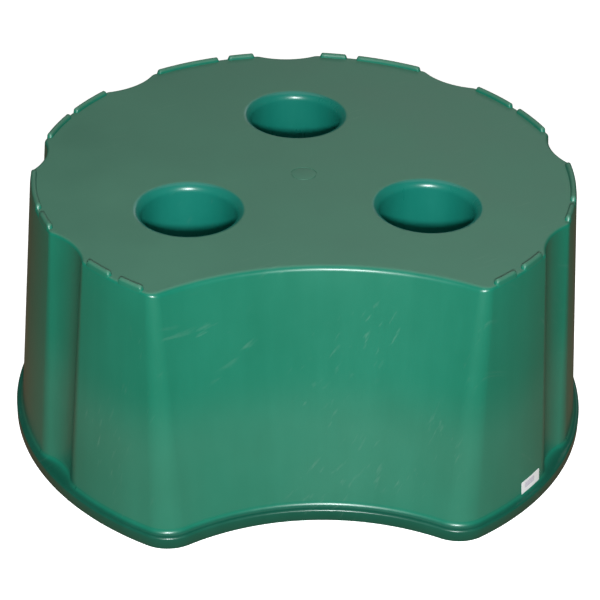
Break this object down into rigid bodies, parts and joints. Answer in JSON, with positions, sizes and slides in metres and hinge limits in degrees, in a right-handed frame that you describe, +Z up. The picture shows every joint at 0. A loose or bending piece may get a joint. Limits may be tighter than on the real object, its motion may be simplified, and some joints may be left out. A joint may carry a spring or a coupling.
{
  "type": "mounting block",
  "caption": "Low round single-step mounting block with a fluted side wall, a concave front, hand holes through the deck, a raised broken lip and a base rim.",
  "frame": {"origin": "on the ground, at the middle of the footprint of the base rim", "axes": "+Z up; the concave front faces -Y; +X to the right, seen from the front; the block is mirror-symmetric in X except for the lip's notches and the sticker"},
  "size_m": [0.595, 0.5528, 0.2735],
  "materials": {
    "green_wall": "satin",
    "green_deck": "fine matt texture",
    "green_rim": "satin",
    "green_sleeve": "satin",
    "green_underside": "as moulded",
    "sticker": "coated paper"
  },
  "bodies": {
    "root": {"base_rim_front": "green_rim", "base_rim_left": "green_rim", "base_rim_left_front": "green_rim", "base_rim_rear": "green_rim", "base_rim_rear_left": "green_rim", "base_rim_rear_right": "green_rim", "base_rim_right": "green_rim", "base_rim_right_front": "green_rim", "centre_hub": "green_underside", "deck_plate": "green_deck", "flute_left": "green_wall", "flute_left_front": "green_wall", "flute_rear": "green_wall", "flute_rear_left": "green_wall", "flute_rear_right": "green_wall", "flute_right": "green_wall", "flute_right_front": "green_wall", "front_corner_left": "green_wall", "front_corner_right": "green_wall", "front_wall": "green_wall", "gate_disc": "green_deck", "hand_hole_mouth_left": "green_sleeve", "hand_hole_mouth_rear": "green_sleeve", "hand_hole_mouth_right": "green_sleeve", "hand_hole_tube_left": "green_sleeve", "hand_hole_tube_rear": "green_sleeve", "hand_hole_tube_right": "green_sleeve", "lip_front_left": "green_deck", "lip_front_right": "green_deck", "lip_left": "green_deck", "lip_rear_left_inner": "green_deck", "lip_rear_left_outer": "green_deck", "lip_rear_right_inner": "green_deck", "lip_rear_right_outer": "green_deck", "lip_right": "green_deck", "lobe_front_left": "green_wall", "lobe_front_right": "green_wall", "lobe_left": "green_wall", "lobe_rear_left_inner": "green_wall", "lobe_rear_left_outer": "green_wall", "lobe_rear_right_inner": "green_wall", "lobe_rear_right_outer": "green_wall", "lobe_right": "green_wall", "price_sticker": "sticker", "web_hub_to_left_hole": "green_underside", "web_hub_to_rear_hole": "green_underside", "web_hub_to_right_hole": "green_underside", "web_hub_to_wall_front": "green_underside", "web_hub_to_wall_left": "green_underside", "web_hub_to_wall_right": "green_underside", "web_left_hole_to_wall": "green_underside", "web_rear_hole_to_wall": "green_underside", "web_right_hole_to_wall": "green_underside"}
  },
  "joints": []
}
